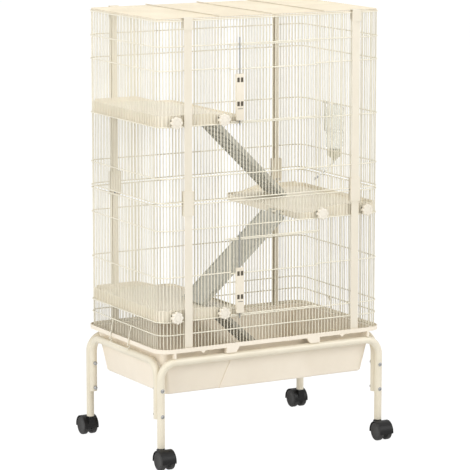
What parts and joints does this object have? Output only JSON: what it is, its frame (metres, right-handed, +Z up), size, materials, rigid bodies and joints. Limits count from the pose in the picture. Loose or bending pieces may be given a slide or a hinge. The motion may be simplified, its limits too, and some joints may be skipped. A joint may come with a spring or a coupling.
{
  "type": "small animal cage",
  "caption": "Tall two-tier wire cage for small animals on a castered tubular stand, with a deep tray, shelves, ramps, latched doors and a water bottle.",
  "frame": {"origin": "on the floor, midway between the four stand legs", "axes": "+Z up, front doors toward -Y, +X to the right when facing the doors"},
  "size_m": [0.8836, 0.6062, 1.3955],
  "materials": {
    "tube_coating": "satin powder coat",
    "wire_coating": "satin powder coat",
    "latch_coating": "satin powder coat",
    "post_plastic": "satin",
    "tray_plastic": "satin",
    "shelf_plastic": "satin",
    "knob_plastic": "satin",
    "ramp_plastic": "matte",
    "caster_plastic": "satin",
    "wheel_plastic": "satin",
    "insert_plastic": "satin",
    "bright_steel": "zinc plated",
    "axle_steel": "plain",
    "bottle_clear": "clear",
    "bottle_cap_plastic": "satin"
  },
  "bodies": {
    "cage": {"stand_front_frame": "tube_coating", "stand_back_frame": "tube_coating", "stand_left_frame": "tube_coating", "stand_right_frame": "tube_coating", "stand_bolts": "bright_steel", "stand_leg_plugs": "post_plastic", "stand_leg_inserts": "insert_plastic", "caster_stems": "bright_steel", "tray": "tray_plastic", "panel_low_right": "wire_coating", "panel_low_left": "wire_coating", "panel_low_back": "wire_coating", "panel_high_right": "wire_coating", "panel_high_left": "wire_coating", "panel_high_back": "wire_coating", "panel_low_front": "wire_coating", "panel_high_front": "wire_coating", "panel_roof": "wire_coating", "posts": "post_plastic", "post_sleeves": "post_plastic", "post_caps": "post_plastic", "shelf_high": "shelf_plastic", "shelf_mid": "shelf_plastic", "shelf_low": "shelf_plastic", "bottle_body": "bottle_clear", "bottle_cap": "bottle_cap_plastic", "bottle_spout": "bright_steel", "bottle_hanger": "bright_steel"},
    "caster_front_left": {"caster_front_left_hood": "caster_plastic", "caster_front_left_axle": "axle_steel"},
    "caster_front_left_wheel_left": {"caster_front_left_wheel_left": "wheel_plastic"},
    "caster_front_left_wheel_right": {"caster_front_left_wheel_right": "wheel_plastic"},
    "caster_front_right": {"caster_front_right_hood": "caster_plastic", "caster_front_right_axle": "axle_steel"},
    "caster_front_right_wheel_left": {"caster_front_right_wheel_left": "wheel_plastic"},
    "caster_front_right_wheel_right": {"caster_front_right_wheel_right": "wheel_plastic"},
    "caster_back_left": {"caster_back_left_hood": "caster_plastic", "caster_back_left_axle": "axle_steel"},
    "caster_back_left_wheel_left": {"caster_back_left_wheel_left": "wheel_plastic"},
    "caster_back_left_wheel_right": {"caster_back_left_wheel_right": "wheel_plastic"},
    "caster_back_right": {"caster_back_right_hood": "caster_plastic", "caster_back_right_axle": "axle_steel"},
    "caster_back_right_wheel_left": {"caster_back_right_wheel_left": "wheel_plastic"},
    "caster_back_right_wheel_right": {"caster_back_right_wheel_right": "wheel_plastic"},
    "door_low": {"door_low": "wire_coating"},
    "latch_low": {"latch_low": "latch_coating"},
    "door_high": {"door_high": "wire_coating"},
    "latch_high": {"latch_high": "latch_coating"},
    "ramp_high": {"ramp_high": "ramp_plastic"},
    "knob_high_inner": {"knob_high_inner": "knob_plastic"},
    "knob_high_outer": {"knob_high_outer": "knob_plastic"},
    "ramp_mid": {"ramp_mid": "ramp_plastic"},
    "knob_mid_inner": {"knob_mid_inner": "knob_plastic"},
    "knob_mid_outer": {"knob_mid_outer": "knob_plastic"},
    "ramp_low": {"ramp_low": "ramp_plastic"},
    "knob_low_inner": {"knob_low_inner": "knob_plastic"},
    "knob_low_outer": {"knob_low_outer": "knob_plastic"},
    "bail_left": {"bail_left": "wire_coating"},
    "bail_right": {"bail_right": "wire_coating"}
  },
  "joints": [
    {"name": "caster_front_left_swivel", "type": "hinge", "parent": "cage", "child": "caster_front_left", "pos_m": [-0.3956, -0.2466, 0.0602], "axis": [0, 0, 1], "continuous": true},
    {"name": "caster_front_left_wheel_left_spin", "type": "hinge", "parent": "caster_front_left", "child": "caster_front_left_wheel_left", "pos_m": [-0.3956, -0.2696, 0.0295], "axis": [1, 0, 0], "continuous": true},
    {"name": "caster_front_left_wheel_right_spin", "type": "hinge", "parent": "caster_front_left", "child": "caster_front_left_wheel_right", "pos_m": [-0.3956, -0.2696, 0.0295], "axis": [1, 0, 0], "continuous": true},
    {"name": "caster_front_right_swivel", "type": "hinge", "parent": "cage", "child": "caster_front_right", "pos_m": [0.3956, -0.2466, 0.0602], "axis": [0, 0, 1], "continuous": true},
    {"name": "caster_front_right_wheel_left_spin", "type": "hinge", "parent": "caster_front_right", "child": "caster_front_right_wheel_left", "pos_m": [0.3956, -0.2696, 0.0295], "axis": [1, 0, 0], "continuous": true},
    {"name": "caster_front_right_wheel_right_spin", "type": "hinge", "parent": "caster_front_right", "child": "caster_front_right_wheel_right", "pos_m": [0.3956, -0.2696, 0.0295], "axis": [1, 0, 0], "continuous": true},
    {"name": "caster_back_left_swivel", "type": "hinge", "parent": "cage", "child": "caster_back_left", "pos_m": [-0.3956, 0.2466, 0.0602], "axis": [0, 0, 1], "continuous": true},
    {"name": "caster_back_left_wheel_left_spin", "type": "hinge", "parent": "caster_back_left", "child": "caster_back_left_wheel_left", "pos_m": [-0.3956, 0.2696, 0.0295], "axis": [1, 0, 0], "continuous": true},
    {"name": "caster_back_left_wheel_right_spin", "type": "hinge", "parent": "caster_back_left", "child": "caster_back_left_wheel_right", "pos_m": [-0.3956, 0.2696, 0.0295], "axis": [1, 0, 0], "continuous": true},
    {"name": "caster_back_right_swivel", "type": "hinge", "parent": "cage", "child": "caster_back_right", "pos_m": [0.3956, 0.2466, 0.0602], "axis": [0, 0, 1], "continuous": true},
    {"name": "caster_back_right_wheel_left_spin", "type": "hinge", "parent": "caster_back_right", "child": "caster_back_right_wheel_left", "pos_m": [0.3956, 0.2696, 0.0295], "axis": [1, 0, 0], "continuous": true},
    {"name": "caster_back_right_wheel_right_spin", "type": "hinge", "parent": "caster_back_right", "child": "caster_back_right_wheel_right", "pos_m": [0.3956, 0.2696, 0.0295], "axis": [1, 0, 0], "continuous": true},
    {"name": "door_low_hinge", "type": "hinge", "parent": "cage", "child": "door_low", "pos_m": [0.15965, -0.245, 0.4562], "axis": [0, 0, 1], "range_deg": [0, 110]},
    {"name": "latch_low_slide", "type": "slide", "parent": "door_low", "child": "latch_low", "axis": [0, 0, 1], "range_m": [-0.01, 0]},
    {"name": "door_high_hinge", "type": "hinge", "parent": "cage", "child": "door_high", "pos_m": [0.15965, -0.245, 1.0608], "axis": [0, 0, 1], "range_deg": [0, 110]},
    {"name": "latch_high_slide", "type": "slide", "parent": "door_high", "child": "latch_high", "axis": [0, 0, 1], "range_m": [-0.01, 0]},
    {"name": "ramp_high_pivot", "type": "hinge", "parent": "cage", "child": "ramp_high", "pos_m": [-0.0875, 0.106, 1.0688], "axis": [0, -1, 0], "range_deg": [0, 40]},
    {"name": "knob_high_inner_screw", "type": "hinge", "parent": "cage", "child": "knob_high_inner", "pos_m": [-0.17676, -0.25, 1.0748], "axis": [0, -1, 0], "continuous": true},
    {"name": "knob_high_outer_screw", "type": "hinge", "parent": "cage", "child": "knob_high_outer", "pos_m": [-0.34286, -0.25, 1.0748], "axis": [0, -1, 0], "continuous": true},
    {"name": "ramp_mid_pivot", "type": "hinge", "parent": "cage", "child": "ramp_mid", "pos_m": [0.0875, -0.116, 0.7488], "axis": [0, 1, 0], "range_deg": [0, 40]},
    {"name": "knob_mid_inner_screw", "type": "hinge", "parent": "cage", "child": "knob_mid_inner", "pos_m": [0.17676, -0.25, 0.7548], "axis": [0, -1, 0], "continuous": true},
    {"name": "knob_mid_outer_screw", "type": "hinge", "parent": "cage", "child": "knob_mid_outer", "pos_m": [0.34286, -0.25, 0.7548], "axis": [0, -1, 0], "continuous": true},
    {"name": "ramp_low_pivot", "type": "hinge", "parent": "cage", "child": "ramp_low", "pos_m": [-0.0875, 0.106, 0.4642], "axis": [0, -1, 0], "range_deg": [0, 40]},
    {"name": "knob_low_inner_screw", "type": "hinge", "parent": "cage", "child": "knob_low_inner", "pos_m": [-0.17676, -0.25, 0.4702], "axis": [0, -1, 0], "continuous": true},
    {"name": "knob_low_outer_screw", "type": "hinge", "parent": "cage", "child": "knob_low_outer", "pos_m": [-0.34286, -0.25, 0.4702], "axis": [0, -1, 0], "continuous": true},
    {"name": "bail_left_hinge", "type": "hinge", "parent": "cage", "child": "bail_left", "pos_m": [-0.3972, 0, 0.4157], "axis": [0, 1, 0], "range_deg": [0, 100]},
    {"name": "bail_right_hinge", "type": "hinge", "parent": "cage", "child": "bail_right", "pos_m": [0.3972, 0, 0.4157], "axis": [0, -1, 0], "range_deg": [0, 100]}
  ]
}
